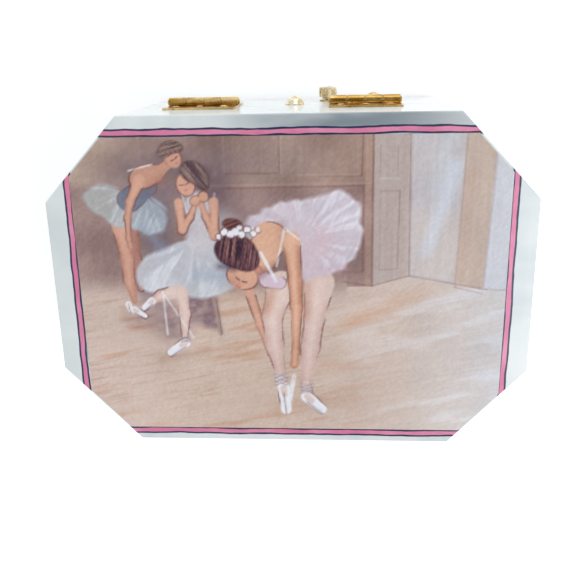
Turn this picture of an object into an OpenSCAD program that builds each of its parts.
// Octagonal wooden jewellery box with a hinged lid, a wind-up musical movement
// and a dancer that turns on a spindle.  Millimetres, +Z up, +Y towards the hinges.
// The origin is the centre of the felt base, on the surface that the box stands on.

/* [Box] */
// Width of the box, side to side
box_w = 250; // [240:1:270]
// Depth of the box, front to back
box_d = 178; // [172:1:190]
// Height of the closed box, without the print
box_h = 118; // [116:1:126]
// Length that each corner cut takes off the front and back
cut_x = 40; // [36:1:44]
// Length that each corner cut takes off the sides
cut_y = 43; // [38:1:46]
// Thickness of the wall boards
wall_t = 7; // [6.5:0.5:7.5]
// Height of the seam between body and lid
seam_z = 65; // [65:1:68]

/* [Print and paint] */
// Distance from the side of the picture to the centre line
print_half_w = 111; // [105:1:113]
// Distance from the back edge of the picture to the centre line
print_back_y = 78.5; // [74:0.5:80]
// Distance from the front edge of the picture to the centre line
print_front_y = 81.5; // [76:0.5:83]

/* [Hinges] */
// Length of one hinge
hinge_l = 39; // [32:1:40]
// Centre of the left hinge
hinge_left_x = -49; // [-52:1:-42]
// Centre of the right hinge
hinge_right_x = 40; // [38:1:46]
// Length of a leaf, measured from the pin
leaf_w = 20; // [14:1:24]

/* [Movement] */
// Height of the winding arbor above the floor
arbor_z = 30; // [30:0.5:30.5]
// Tooth size of all the wheels
module_mm = 0.65; // [0.65:0.01:0.65]
// Diameter of the winding knob
knob_d = 10.4; // [9:0.2:12]

/* [Interior] */
// Height of the stage on which the dancer turns
deck_z = 50; // [50:0.5:51]
// Half of the width of the music compartment
housing_half_w = 59; // [57:1:62]
// Front face of the music compartment
housing_front_y = 15; // [12:1:16]
// Place of the two dividers in the front compartments
divider_x = 40; // [34:1:46]

/* [Hidden] */
$fn = 48;

felt_t = 1.5;
bottom_t = 5;
top_t = 5;
print_t = 0.3;
seam_gap = 0.3;
lining_t = 1.2;
floor_z = felt_t + bottom_t;
floor_lining_t = 1.5;
back_in = box_d/2 - wall_t;

// Hinge: the pin runs along X just outside the back wall, level with the middle of the seam.
leaf_t = 1;
knuckle_r = 2.6;
pin_r = 1.1;
pin_fit = 0.05;
hinge_y = box_d/2 + knuckle_r + 0.1;
hinge_z = seam_z + seam_gap/2;
knuckles = 4;

// Octagon with its four corners cut off, drawn inset from the outer faces.
cut_len = norm([cut_x, cut_y]);
cut_n = [cut_y, cut_x]/cut_len;
cut_c = cut_n*[box_w/2 - cut_x, box_d/2];
function cut_at_y(y, inset) = (cut_c - inset - cut_n[1]*y)/cut_n[0];
function cut_at_x(x, inset) = (cut_c - inset - cut_n[0]*x)/cut_n[1];
function quarter(inset) =
  let (w = box_w/2 - inset, d = box_d/2 - inset)
  [[w, cut_at_x(w, inset)], [cut_at_y(d, inset), d]];
function octagon(inset) =
  let (a = quarter(inset)[0], b = quarter(inset)[1])
  [a, b, [-b[0], b[1]], [-a[0], a[1]], [-a[0], -a[1]], [-b[0], -b[1]], [b[0], -b[1]], [a[0], -a[1]]];

module octagon_slab(inset, z0, z1) {
  translate([0, 0, z0]) linear_extrude(z1 - z0) polygon(octagon(inset));
}

module octagon_ring(inset, t, z0, z1) {
  difference() {
    octagon_slab(inset, z0, z1);
    octagon_slab(inset + t, z0 - 1, z1 + 1);
  }
}

// One mitred wall board: side i of the octagon, between its outer and inner faces.
module wall_board(i, z0, z1) {
  outer = octagon(0);
  inner = octagon(wall_t);
  j = (i + 1)%8;
  translate([0, 0, z0]) linear_extrude(z1 - z0) polygon([outer[i], outer[j], inner[j], inner[i]]);
}
corner_sides = [0, 2, 4, 6];

module at_back(x, z, y = box_d/2) { translate([x, y, z]) rotate([-90, 0, 0]) children(); }
module at_front(x, z, y = -box_d/2) { translate([x, y, z]) rotate([90, 0, 0]) children(); }
module along_x(x, y, z) { translate([x, y, z]) rotate([0, 90, 0]) children(); }
module box_from(a, b) { translate(a) cube(b - a); }

// Toothed wheel outline: straight-sided teeth, slimmer than the gaps so that a pair runs free.
addendum = 0.7*module_mm;
dedendum = 0.95*module_mm;
function wheel_r(n) = module_mm*n/2;
function tooth(n, i) =
  let (p = 360/n, a = i*p, r0 = wheel_r(n) - dedendum, r1 = wheel_r(n) + addendum,
       root = 0.25*p, tip = 0.1*p)
  [for (q = [[r0, a - root], [r1, a - tip], [r1, a + tip], [r0, a + root]]) q[0]*[cos(q[1]), sin(q[1])]];
module wheel(n, t, turn = 0) {
  rotate([0, 0, turn]) linear_extrude(t) polygon([for (i = [0:n - 1]) each tooth(n, i)]);
}
module along_y(x, y, z) { translate([x, y, z]) rotate([-90, 0, 0]) children(); }

// Wheel train: barrel 48 drives cylinder 12; cylinder 36 drives governor pinion 12;
// governor wheel 20 drives the single-start worm; cylinder 30 drives the spindle crown 20.
great_n = 48;
pinion_n = 12;
cylinder_n = 36;
crown_drive_n = 30;
crown_n = 20;
worm_n = 20;
cylinder_x = 0;
barrel_x = cylinder_x + wheel_r(great_n) + wheel_r(pinion_n);
barrel_r = 13;
great_y = 52.5;
great_t = 2.2;
cylinder_r = 7;
cylinder_y = 26;
cylinder_l = 24;
crown_drive_y = 50.2;
crown_r = wheel_r(crown_n);
spindle_y = crown_drive_y + 0.8 - crown_r;
crown_z = arbor_z + wheel_r(crown_drive_n);
train_y = 70;
governor_x = cylinder_x - wheel_r(cylinder_n) - wheel_r(pinion_n);
governor_y = 62.5;
worm_x = governor_x - wheel_r(worm_n) - 1.75;
worm_y = governor_y + 0.75;
worm_pitch = 3.14159265*module_mm;
fly_r = 6.5;
fly_z = 38;
fly_h = 6.6;
pivot_r = 0.5;
pin_h = 0.8;
arbor_r = 1.5;
cyl_arbor_r = 1;
gov_arbor_r = 0.8;
spindle_r = 1.5;
barrel_l = 13.3;
crown_plate_z = 41.5;
bed_t = 2.5;
bed_z = floor_z + bed_t;
deck_t = 3;
cock_top = deck_z - deck_t - 0.4;
turntable_z = deck_z + 0.9;
toe_z = turntable_z + 4;
housing_t = 3;
divider_top = deck_z - 4;
fit = 0.05;

// Lid stay: two equal bars, each as long as its pivot is from the hinge pin.
stay_y = 36;
stay_rise = 6;
stay_len = norm([hinge_y - stay_y, stay_rise]);
stay_tilt = atan(stay_rise/(hinge_y - stay_y));
elbow_y = 2*stay_y - hinge_y;
side_in = box_w/2 - wall_t;
bar_w = 6;
bar_t = 1;
lower_bar_x = side_in - 4.8;
upper_bar_x = side_in - 6.4;

// Stop lever: a wire that rises from the bedplate past the fly to the lid.
lever_x = worm_x;
lever_y = 76;
lever_z = 13;
lever_top = 72;
lever_pin_r = 0.8;

// Latch hook
hook_z = 52;
hook_l = 25;
hook_t = 1.2;

module base_felt() {
  color("#8b8f93") octagon_slab(2, 0, felt_t);
}

module body_bottom() {
  color("tan") octagon_slab(wall_t, felt_t, floor_z);
}

module body_front_wall() {
  color("white") wall_board(5, felt_t, seam_z);
}

module body_back_wall() {
  color("white") difference() {
    wall_board(1, felt_t, seam_z);
    at_back(barrel_x, arbor_z, back_in - 1) cylinder(h = wall_t + 2, r = 3);
  }
}

module body_side_walls() {
  color("white") for (i = [3, 7]) wall_board(i, felt_t, seam_z);
}

module body_corner_walls() {
  color("white") for (i = corner_sides) wall_board(i, felt_t, seam_z);
}

// Satin-covered card against the walls, left out where the music compartment and brackets are.
module body_lining() {
  color("pink") difference() {
    octagon_ring(wall_t, lining_t, floor_z, seam_z - 1.5);
    box_from([-housing_half_w, housing_front_y, 0], [housing_half_w, box_d, deck_z]);
    box_from([lever_x - 4, back_in - 3, deck_z - 1], [5, box_d, seam_z]);
    box_from([side_in - 3, stay_y - 8, seam_z - 14], [box_w, stay_y + 8, seam_z]);
  }
}

module floor_lining() {
  color("pink") difference() {
    octagon_slab(wall_t + lining_t, floor_z, floor_z + floor_lining_t);
    box_from([-housing_half_w, housing_front_y, 0], [housing_half_w, box_d, 20]);
    for (s = [-1, 1])
      box_from([s*divider_x - 1.5, -box_d, 0], [s*divider_x + 1.5, housing_front_y, 20]);
    box_from([-box_w, housing_front_y, 0], [box_w, housing_front_y + housing_t, 20]);
    ring_cushion_place(0);
  }
}

// Three boards glued on edge to the bottom, round the movement.
module music_compartment() {
  front = [[-housing_half_w, housing_front_y], [housing_half_w, housing_front_y + housing_t]];
  color("pink") {
    box_from([front[0][0], front[0][1], floor_z], [front[1][0], front[1][1], deck_z - deck_t]);
    for (s = [-1, 1])
      box_from([s*(housing_half_w - housing_t/2) - housing_t/2, housing_front_y + housing_t, floor_z],
               [s*(housing_half_w - housing_t/2) + housing_t/2, back_in, deck_z - deck_t]);
  }
}

module stage_deck() {
  color("hotpink") difference() {
    box_from([-housing_half_w, housing_front_y, deck_z - deck_t], [housing_half_w, back_in, deck_z]);
    translate([cylinder_x, spindle_y, deck_z - 10]) cylinder(h = 20, r = 4);
    box_from([lever_x - 2, lever_y - 4, deck_z - 10], [lever_x + 2, back_in + 1, deck_z + 1]);
  }
}

module compartment_dividers() {
  color("pink") for (s = [-1, 1]) {
    box_from([s*divider_x - 1.5, -back_in + lining_t, floor_z], [s*divider_x + 1.5, housing_front_y, divider_top]);
    translate([s*(housing_half_w + side_in - lining_t)/2, housing_front_y + housing_t/2, (floor_z + divider_top)/2])
      cube([side_in - lining_t - housing_half_w, housing_t, divider_top - floor_z], center = true);
  }
}

roll_r = 6.3;
roll_pitch = 13;
rolls = 5;
roll_y0 = -50;
roll_x0 = divider_x + 3;
roll_x1 = 101;
cushion_z = 25;
module ring_cushion_place(gap) {
  box_from([roll_x0 - 1 - gap, roll_y0 - roll_pitch/2, floor_z - gap],
           [roll_x1 + 1 + gap, roll_y0 + (rolls - 0.5)*roll_pitch, cushion_z - roll_r]);
}

module ring_cushion_base() {
  color("plum") ring_cushion_place(0);
}

module ring_rolls() {
  color("plum") for (i = [0:rolls - 1])
    along_x(roll_x0, roll_y0 + i*roll_pitch, cushion_z) cylinder(h = roll_x1 - roll_x0, r = roll_r);
}

// Hinge leaf.  half is 0 for the body leaf and 1 for the lid leaf: they take turns along the pin.
knuckle_l = hinge_l/knuckles;
screw_at = [-13, 0, 13];
module hinge_leaf(x, half) {
  up = half == 0 ? -1 : 1;
  far = up*leaf_w;
  near = up*2.45;
  color("goldenrod") difference() {
    translate([x, 0, hinge_z]) union() {
      box_from([-hinge_l/2, box_d/2, min(far, near)], [hinge_l/2, box_d/2 + leaf_t, max(far, near)]);
      for (k = [0:knuckles - 1]) if (k%2 == half) {
        x0 = -hinge_l/2 + k*knuckle_l + 0.1;
        x1 = x0 + knuckle_l - 0.2;
        box_from([x0, box_d/2, min(up, near)], [x1, box_d/2 + leaf_t, max(up, near)]);
        along_x(x0, hinge_y, 0) cylinder(h = x1 - x0, r = knuckle_r);
      }
    }
    along_x(x - hinge_l, hinge_y, hinge_z) cylinder(h = 2*hinge_l, r = pin_r + pin_fit);
    for (s = screw_at)
      at_back(x + s, hinge_z + up*(leaf_w - 6), box_d/2 - 1) cylinder(h = 4, r = 1.25);
  }
}
module left_hinge_body_leaf() { hinge_leaf(hinge_left_x, 0); }
module right_hinge_body_leaf() { hinge_leaf(hinge_right_x, 0); }
module left_hinge_lid_leaf() { hinge_leaf(hinge_left_x, 1); }
module right_hinge_lid_leaf() { hinge_leaf(hinge_right_x, 1); }

module hinge_pins() {
  color("gold") for (x = [hinge_left_x, hinge_right_x])
    along_x(x - hinge_l/2 - 0.6, hinge_y, hinge_z) {
      cylinder(h = hinge_l + 1.2, r = pin_r);
      cylinder(h = 0.6, r = 1.6);
      translate([0, 0, hinge_l + 0.6]) cylinder(h = 0.6, r = 1.6);
    }
}

// Round-headed wood screw along +Z, with its seat at z = 0.
module round_screw(r, h, shank_r, shank_l) {
  difference() {
    union() {
      rotate_extrude() polygon([[0, 0], [r, 0], [0.9*r, 0.5*h], [0.6*r, 0.85*h], [0, h]]);
      translate([0, 0, -shank_l]) cylinder(h = shank_l, r = shank_r);
    }
    translate([-r, -0.2, 0.7*h]) cube([2*r, 0.4, h]);
  }
}

module hinge_screws(up) {
  color("gold") for (x = [hinge_left_x, hinge_right_x], s = screw_at)
    at_back(x + s, hinge_z + up*(leaf_w - 6), box_d/2 + leaf_t) round_screw(2, 0.8, 1.15, 6);
}
module hinge_body_screws() { hinge_screws(-1); }
module hinge_lid_screws() { hinge_screws(1); }

// Brass cup washer with a screw through it, one piece to look at: a flared dome with a slot.
module cup_screw(r, h, shank_l) {
  difference() {
    union() {
      rotate_extrude() polygon([
        [0, 0], [r, 0], [r, 0.5], [0.86*r, 0.3*h], [0.62*r, 0.75*h], [0.5*r, 0.84*h],
        [0.3*r, 0.84*h], [0.26*r, h], [0, h]]);
      translate([0, 0, -shank_l]) cylinder(h = shank_l, r = 1.4);
    }
    translate([-0.2*r, -0.3, 0.8*h]) cube([0.4*r, 0.6, h]);
  }
}
guide_x = 1;
guide_z = 57;
module guide_screw() {
  color("gold") at_back(guide_x, guide_z) cup_screw(5.4, 4.8, 9);
}
plate_screw_x = 46.5;
module plate_screw() {
  color("gold") at_back(plate_screw_x, 25) cup_screw(5.4, 4.8, 8.5);
}

// Threaded ferrule that guides the arbor through the wall.
module arbor_bush() {
  color("goldenrod") difference() {
    union() {
      at_back(barrel_x, arbor_z, back_in) cylinder(h = wall_t, r = 3);
      at_back(barrel_x, arbor_z) cylinder(h = 0.8, r = 5);
    }
    at_back(barrel_x, arbor_z, back_in - 3) cylinder(h = wall_t + 6, r = 1.5 + fit);
  }
}

// Bent strip on the back wall: two prongs keep the stop wire in line.
module stop_wire_guide() {
  color("goldenrod") union() {
    box_from([lever_x - 3, back_in - 1, 54], [guide_x + 3.5, back_in, 61]);
    for (s = [-1, 1])
      box_from([lever_x + s*1.9 - 0.5, back_in - 6, 54], [lever_x + s*1.9 + 0.5, back_in - 0.5, 61]);
  }
}

module hook_screw() {
  color("gold") at_front(0, hook_z) {
    translate([0, 0, -6]) cylinder(h = 8.2, r = 1.8);
    cylinder(h = 0.4, r = 4.6);
    translate([0, 0, 2.2]) rotate_extrude() polygon([[0, 0], [3, 0], [2.6, 0.8], [1.4, 1.3], [0, 1.4]]);
  }
}
stud_z = hook_z + hook_l;
module hook_stud() {
  color("gold") at_front(0, stud_z) {
    translate([0, 0, -6]) cylinder(h = 8.4, r = 1.7);
    cylinder(h = 0.4, r = 4.6);
    translate([0, 0, 2.4]) rotate_extrude() polygon([[0, 0], [2.9, 0], [2.5, 0.8], [1.3, 1.3], [0, 1.4]]);
  }
}
module latch_hook() {
  color("gold") difference() {
    union() {
      at_front(0, hook_z, -box_d/2 - 0.7) cylinder(h = hook_t, r = 4);
      box_from([-2.2, -box_d/2 - 0.7 - hook_t, hook_z - hook_l], [2.2, -box_d/2 - 0.7, hook_z]);
      at_front(0, hook_z - hook_l, -box_d/2 - 0.7) cylinder(h = hook_t, r = 4.4);
      at_front(0, hook_z - hook_l - 5.4, -box_d/2 - 0.7) cylinder(h = hook_t, r = 2.2);
    }
    at_front(0, hook_z, -box_d/2 + 1) cylinder(h = 6, r = 1.8 + fit);
    at_front(0, hook_z - hook_l, -box_d/2 + 1) cylinder(h = 6, r = 2.1);
    box_from([-9, -box_d/2 - 6, hook_z - hook_l - 2.1], [0, -box_d/2 + 1, hook_z - hook_l + 2.7]);
  }
}

// Lid stay brackets and bars, on the right-hand wall.
module stay_bracket(z, reach) {
  color("goldenrod") union() {
    box_from([side_in - 1, stay_y - 6, z - 4], [side_in, stay_y + 6, z + 4]);
    along_x(side_in - reach, stay_y, z) cylinder(h = reach - 0.5, r = 1.4);
    along_x(side_in - reach - 0.7, stay_y, z) cylinder(h = 0.7, r = 2.4);
    for (s = [-4, 4]) along_x(side_in - 1.5, stay_y + s, z) cylinder(h = 0.5, r = 1.3);
  }
}
module stay_body_bracket() { stay_bracket(hinge_z - stay_rise, 5.1); }
module stay_lid_bracket() { stay_bracket(hinge_z + stay_rise, 6.7); }

// A bar along -Y from its pivot, turned by tilt about X, with a hole at each end.
module stay_bar(x, z, tilt, pivot_hole, elbow_hole) {
  translate([x, stay_y, z]) rotate([tilt, 0, 0]) difference() {
    union() {
      box_from([0, -stay_len, -bar_w/2], [bar_t, 0, bar_w/2]);
      for (y = [0, -stay_len]) along_x(0, y, 0) cylinder(h = bar_t, r = bar_w/2);
    }
    along_x(-1, 0, 0) cylinder(h = 3, r = pivot_hole);
    if (elbow_hole > 0) along_x(-1, -stay_len, 0) cylinder(h = 3, r = elbow_hole);
  }
}
module stay_lower_bar() {
  color("gold") union() {
    stay_bar(lower_bar_x, hinge_z - stay_rise, -stay_tilt, 1.4 + fit, 0);
    along_x(upper_bar_x - 0.5, elbow_y, hinge_z) cylinder(h = lower_bar_x - upper_bar_x + 1, r = 1.2);
  }
}
module stay_upper_bar() {
  color("gold") stay_bar(upper_bar_x, hinge_z + stay_rise, stay_tilt, 1.4 + fit, 1.5);
}

// Movement frame: bedplate with the plate that is screwed to the back wall.
module bedplate() {
  color("goldenrod") difference() {
    union() {
      box_from([-42, 19.5, floor_z], [54, 79, bed_z]);
      box_from([12, 77.5, floor_z], [54, back_in, 40]);
    }
    along_y(barrel_x, back_in - 8, arbor_z) cylinder(h = 12, r = arbor_r + fit);
  }
}

bridge_top = arbor_z + 4.5;
// Upright plates that carry the arbors, and the two cheeks of the stop lever with their pin.
module arbor_plate(x0, x1, y0, y1, holes) {
  difference() {
    box_from([x0, y0, bed_z], [x1, y1, bridge_top]);
    for (h = holes) along_y(h[0], y0 - 1, arbor_z) cylinder(h = y1 - y0 + 2, r = h[1] + fit);
  }
}
module bedplate_brackets() {
  color("goldenrod") {
    arbor_plate(-5, 5, 20, 22.5, [[cylinder_x, cyl_arbor_r]]);
    arbor_plate(governor_x - 4, 5, 73.5, 75.5, [[cylinder_x, cyl_arbor_r], [governor_x, gov_arbor_r]]);
    arbor_plate(governor_x - 3.4, governor_x + 3.4, 59.5, 61, [[governor_x, gov_arbor_r]]);
    arbor_plate(barrel_x - 5.5, barrel_x + 5.5, 47, 49.5, [[barrel_x, arbor_r]]);
    for (s = [-1, 1])
      box_from([lever_x + s*1.8 - 0.6, lever_y - 2, bed_z], [lever_x + s*1.8 + 0.6, lever_y + 2, lever_z + 2]);
    along_x(lever_x - 2, lever_y, lever_z) cylinder(h = 4, r = lever_pin_r);
  }
}

// C-shaped cock that holds both pivots of the worm.
module governor_cock() {
  color("goldenrod") difference() {
    union() {
      box_from([worm_x - 14, worm_y - 3, bed_z], [worm_x - 8.6, worm_y + 3, cock_top]);
      for (z = [12, cock_top - 1.3])
        box_from([worm_x - 14, worm_y - 3, z], [worm_x + 2.3, worm_y + 3, z + 1.3]);
    }
    translate([worm_x, worm_y, 11]) cylinder(h = 40, r = pivot_r + fit);
  }
}

comb_teeth = 18;
comb_pitch = 1.25;
comb_tip = -(cylinder_r + pin_h + 0.3);
module comb_base() {
  color("darkgoldenrod") box_from([-36, 26.5, bed_z], [-22, 50, arbor_z - 0.5]);
}
module comb() {
  color("silver") union() {
    box_from([-34, 27, arbor_z - 0.5], [-23, 50, arbor_z + 1]);
    for (i = [0:comb_teeth - 1])
      box_from([-24, 27.4 + i*comb_pitch, arbor_z - 0.3], [comb_tip, 28.35 + i*comb_pitch, arbor_z + 0.4]);
  }
}
module movement_screws() {
  color("silver") {
    for (x = [-38.5, 38.5], y = [23, 73.5]) translate([x, y, bed_z]) round_screw(2.4, 1.4, 1.2, 5);
    for (y = [32, 45]) translate([-29, y, arbor_z + 1]) round_screw(2.2, 1.2, 1.1, 6);
  }
}

// Knurled brass knob on the end of the winding arbor.
knob_y = box_d/2 + 1.1;
knob_h = 7;
module winding_knob() {
  r = knob_d/2;
  color("gold") difference() {
    at_back(barrel_x, arbor_z, knob_y) rotate_extrude() polygon([
      [0, 0], [r - 1, 0], [r - 1, 0.8], [r, 1.2], [r, knob_h - 0.9], [r - 0.9, knob_h], [0, knob_h]]);
    at_back(barrel_x, arbor_z, knob_y - 1) cylinder(h = knob_h - 1, r = arbor_r);
  }
}
module winding_arbor() {
  color("silver") along_y(barrel_x, 47.3, arbor_z) cylinder(h = knob_y + knob_h - 2 - 47.3, r = arbor_r);
}

// Spring barrel with its great wheel; the mainspring is a flat spiral inside.
module spring_barrel() {
  color("gold") difference() {
    union() {
      along_y(barrel_x, great_y, arbor_z) wheel(great_n, great_t);
      along_y(barrel_x, great_y + great_t, arbor_z) cylinder(h = barrel_l, r = barrel_r);
    }
    along_y(barrel_x, great_y + great_t + 1, arbor_z) cylinder(h = barrel_l - 2, r = barrel_r - 1);
    along_y(barrel_x, 40, arbor_z) cylinder(h = 40, r = arbor_r + fit);
  }
}
module mainspring() {
  turns = 5;
  steps = turns*18;
  function at(i, r0) = let (a = i*20, r = r0 + 8.6*i/steps) r*[cos(a), sin(a)];
  color("dimgray") along_y(barrel_x, great_y + great_t + 1.5, arbor_z) linear_extrude(barrel_l - 3)
    polygon(concat([for (i = [0:steps]) at(i, 3)], [for (i = [steps:-1:0]) at(i, 2.6)]));
}

// Pinned cylinder on its arbor, and the wheels that share that arbor.
module music_cylinder() {
  rows = 16;
  color("gold") union() {
    along_y(cylinder_x, cylinder_y, arbor_z) cylinder(h = cylinder_l, r = cylinder_r);
    along_y(cylinder_x, 20.3, arbor_z) cylinder(h = 55, r = cyl_arbor_r);
    for (i = [0:rows - 1])
      translate([cylinder_x, cylinder_y + 1.9 + i*comb_pitch, arbor_z]) rotate([0, (i*i*47 + i*90)%360, 0])
        translate([cylinder_r - 1, -0.2, -0.2]) cube([1 + pin_h, 0.4, 0.4]);
  }
}
module cylinder_wheels() {
  color("goldenrod") difference() {
    union() {
      along_y(cylinder_x, crown_drive_y, arbor_z) wheel(crown_drive_n, 1.6);
      along_y(cylinder_x, crown_drive_y + 1.6, arbor_z) wheel(pinion_n, 3.4, 15);
      along_y(cylinder_x, train_y, arbor_z) wheel(cylinder_n, 1.5);
      along_y(cylinder_x, train_y - 2.5, arbor_z) cylinder(h = 2.5, r = 2.6);
    }
    along_y(cylinder_x, 40, arbor_z) cylinder(h = 40, r = cyl_arbor_r);
  }
}

module governor_wheel() {
  color("gold") union() {
    along_y(governor_x, governor_y, arbor_z) wheel(worm_n, 1.5);
    along_y(governor_x, train_y - 0.3, arbor_z) wheel(pinion_n, 2.1, 15);
    along_y(governor_x, 59.8, arbor_z) cylinder(h = 15.4, r = gov_arbor_r);
  }
}

// Worm with the air-brake fly on the same spindle.
module governor_fly() {
  turns = 5;
  color("white") translate([worm_x, worm_y, 0]) {
    translate([0, 0, arbor_z - turns*worm_pitch/2])
      linear_extrude(turns*worm_pitch, twist = -360*turns, slices = 12*turns)
        translate([0.6, 0]) circle(r = 1.5, $fn = 16);
    translate([0, 0, 13.6]) cylinder(h = cock_top - 15.3, r = 0.9);
    translate([0, 0, 12.2]) cylinder(h = 2, r = pivot_r);
    translate([0, 0, cock_top - 2]) cylinder(h = 1.8, r = pivot_r);
    translate([0, 0, fly_z]) cylinder(h = fly_h, r = 1.7);
    translate([-fly_r, -0.3, fly_z]) cube([2*fly_r, 0.6, fly_h]);
  }
}

// Crown wheel and spindle of the dancer.
module crown_teeth() {
  half = wheel_r(1)*3.14159265;
  for (i = [0:crown_n - 1]) rotate([0, 0, i*360/crown_n])
    translate([crown_r - 0.8, 0, 0]) rotate([90, 0, 90]) linear_extrude(1.6)
      polygon([[-0.5*half, crown_plate_z + 0.2], [-0.5*half, crown_z + dedendum], [-0.2*half, crown_z - addendum],
               [0.2*half, crown_z - addendum], [0.5*half, crown_z + dedendum], [0.5*half, crown_plate_z + 0.2]]);
}
module dancer_spindle() {
  color("silver") translate([cylinder_x, spindle_y, 0]) union() {
    crown_teeth();
    translate([0, 0, crown_plate_z]) cylinder(h = 1.5, r = crown_r + 0.9);
    translate([0, 0, crown_plate_z]) cylinder(h = turntable_z - crown_plate_z + 1, r = spindle_r);
    translate([0, 0, turntable_z]) cylinder(h = toe_z - turntable_z + 1, r = 1);
  }
}
module spindle_bush() {
  color("goldenrod") translate([cylinder_x, spindle_y, 0]) difference() {
    union() {
      translate([0, 0, 43.4]) cylinder(h = deck_z - 43.4, r = 4);
      translate([0, 0, deck_z]) cylinder(h = 0.6, r = 5.5);
    }
    translate([0, 0, 40]) cylinder(h = 20, r = spindle_r + fit);
  }
}
module turntable() {
  color("hotpink") translate([cylinder_x, spindle_y, 0]) difference() {
    rotate_extrude() polygon([
      [0, turntable_z], [11, turntable_z], [11, turntable_z + 1.2], [10.2, turntable_z + 1.8],
      [0, turntable_z + 1.8]]);
    translate([0, 0, turntable_z - 1]) cylinder(h = 2, r = spindle_r);
    translate([0, 0, turntable_z - 1]) cylinder(h = 5, r = 1);
  }
}

// Dancer on one pointed foot, arms rounded above the head.
module limb(a, b, ra, rb) {
  hull() {
    translate(a) sphere(r = ra, $fn = 16);
    translate(b) sphere(r = rb, $fn = 16);
  }
}
module dancer() {
  color("bisque") translate([cylinder_x, spindle_y, toe_z]) {
    translate([0, 0, 0.2]) cylinder(h = 1, r = 1.1, $fn = 16);
    limb([0, 0, 1], [0, 0, 4.5], 0.8, 1);
    limb([0, 0, 4.5], [0, 0.2, 12], 1, 1.4);
    limb([0, 0.2, 12], [0.8, 0, 20.5], 1.4, 2.2);
    limb([-1.2, 0, 20.5], [-6.4, -2.4, 15.4], 2.1, 1.4);
    limb([-6.4, -2.4, 15.4], [-1.1, -1.7, 11.4], 1.2, 0.7);
    limb([0, 0, 21.5], [0, 0, 26.2], 2.9, 2.1);
    limb([0, 0, 26.2], [0, 0, 31], 2.1, 2.6);
    limb([0, 0, 31], [0, 0, 36.5], 1.1, 1);
    limb([0, -0.3, 37.6], [0, 0.2, 39], 2.3, 2.6);
    limb([0, 1.6, 41.2], [0, 1.9, 41.6], 1.5, 1.5);
    for (s = [-1, 1]) {
      limb([s*2.6, 0, 32.2], [s*6.8, -1, 37.2], 0.95, 0.75);
      limb([s*6.8, -1, 37.2], [s*2, -1.6, 44.2], 0.75, 0.55);
    }
  }
}
module dancer_skirt() {
  color("white") translate([cylinder_x, spindle_y, toe_z]) rotate_extrude($fn = 40) polygon([
    [1.9, 25.4], [2.7, 24.6], [6.5, 24], [12, 22.4], [12, 21.4], [6.5, 22.2], [1.9, 21.2]]);
}

// Wire that rises past the fly to the lid; it leans back and frees the fly when the lid opens.
module stop_lever() {
  color("silver") difference() {
    union() {
      along_x(lever_x - 0.9, lever_y, lever_z) cylinder(h = 1.8, r = 1.7);
      translate([lever_x, lever_y, lever_z + 1]) cylinder(h = lever_top - lever_z - 1, r = 0.7);
      along_y(lever_x, lever_y - 0.7, lever_top - 0.7) cylinder(h = 5, r = 0.7);
      along_y(lever_x, worm_y + fly_r + 0.5, 41) cylinder(h = 6, r = 0.6);
    }
    along_x(lever_x - 3, lever_y, lever_z) cylinder(h = 6, r = lever_pin_r + fit);
  }
}

// Lid: four kinds of wall board under a solid top.
lid_z = seam_z + seam_gap;
lid_in_z = box_h - top_t;
pad_t = 3;
module lid_top() {
  color("white") octagon_slab(0, lid_in_z, box_h);
}
module lid_print() {
  color("thistle") translate([0, 0, box_h]) linear_extrude(print_t) intersection() {
    polygon(octagon(1));
    polygon([[-print_half_w, -print_front_y], [print_half_w, -print_front_y],
             [print_half_w, print_back_y], [-print_half_w, print_back_y]]);
  }
}
module lid_front_wall() {
  color("white") wall_board(5, lid_z, lid_in_z);
}
module lid_back_wall() {
  color("white") wall_board(1, lid_z, lid_in_z);
}
module lid_side_walls() {
  color("white") for (i = [3, 7]) wall_board(i, lid_z, lid_in_z);
}
module lid_corner_walls() {
  color("white") for (i = corner_sides) wall_board(i, lid_z, lid_in_z);
}
module lid_lining() {
  color("pink") difference() {
    octagon_ring(wall_t, lining_t, lid_z + 1.5, lid_in_z - pad_t);
    box_from([side_in - 3, stay_y - 8, lid_z], [box_w, stay_y + 8, lid_z + 14]);
  }
}
mirror_w = 152;
mirror_d = 96;
module mirror_box(z0, z1) {
  box_from([-mirror_w/2, -mirror_d/2, z0], [mirror_w/2, mirror_d/2, z1]);
}
module lid_pad() {
  color("pink") difference() {
    octagon_slab(wall_t, lid_in_z - pad_t, lid_in_z);
    mirror_box(lid_in_z - pad_t - 1, lid_in_z + 1);
  }
}
module mirror() {
  color("lightblue") mirror_box(lid_in_z - 2, lid_in_z);
}

base_felt();
body_bottom();
body_front_wall();
body_back_wall();
body_side_walls();
body_corner_walls();
body_lining();
floor_lining();
music_compartment();
stage_deck();
compartment_dividers();
ring_cushion_base();
ring_rolls();
left_hinge_body_leaf();
right_hinge_body_leaf();
hinge_pins();
hinge_body_screws();
guide_screw();
plate_screw();
arbor_bush();
stop_wire_guide();
hook_screw();
stay_body_bracket();
bedplate();
bedplate_brackets();
governor_cock();
comb_base();
comb();
movement_screws();
spindle_bush();
lid_top();
lid_print();
lid_front_wall();
lid_back_wall();
lid_side_walls();
lid_corner_walls();
lid_lining();
lid_pad();
mirror();
left_hinge_lid_leaf();
right_hinge_lid_leaf();
hinge_lid_screws();
hook_stud();
stay_lid_bracket();
winding_knob();
winding_arbor();
spring_barrel();
mainspring();
music_cylinder();
cylinder_wheels();
governor_wheel();
governor_fly();
dancer_spindle();
turntable();
dancer();
dancer_skirt();
stop_lever();
stay_lower_bar();
stay_upper_bar();
latch_hook();
